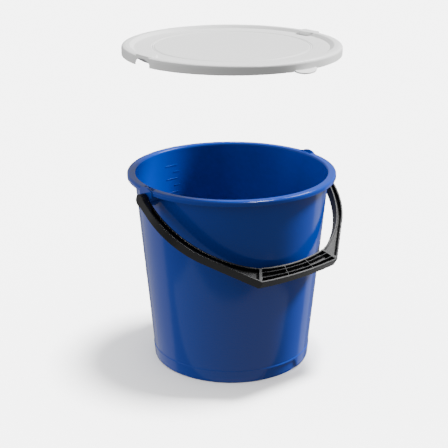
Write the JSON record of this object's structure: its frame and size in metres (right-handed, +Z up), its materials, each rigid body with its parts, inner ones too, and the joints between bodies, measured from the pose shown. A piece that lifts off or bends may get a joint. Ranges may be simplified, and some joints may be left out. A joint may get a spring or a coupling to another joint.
{
  "type": "wash bucket",
  "caption": "Tapered plastic wash bucket with a rolled rim, a swinging bail handle with a ribbed grip, and a round lift-off lid with a pull tab.",
  "frame": {"origin": "middle of the bucket's base, on the surface it stands on", "axes": "+Z up along the bucket's axis; +X along the handle's pivots; the handle hangs and the lid's tab points towards -Y"},
  "size_m": [0.3058, 0.2979, 0.4432],
  "materials": {
    "blue_plastic": "glossy moulded polyethylene",
    "black_plastic": "semi-gloss moulded polypropylene",
    "white_plastic": "satin moulded polyethylene"
  },
  "bodies": {
    "bucket": {"bucket": "blue_plastic"},
    "handle": {"handle": "black_plastic"},
    "lid": {"lid": "white_plastic"}
  },
  "joints": [
    {"name": "handle_swing", "type": "hinge", "parent": "bucket", "child": "handle", "pos_m": [0, 0, 0.2555], "axis": [-1, 0, 0], "range_deg": [0, 248]},
    {"name": "lid_lift", "type": "slide", "parent": "bucket", "child": "lid", "axis": [0, 0, 1], "range_m": [-0.167, 0]}
  ]
}
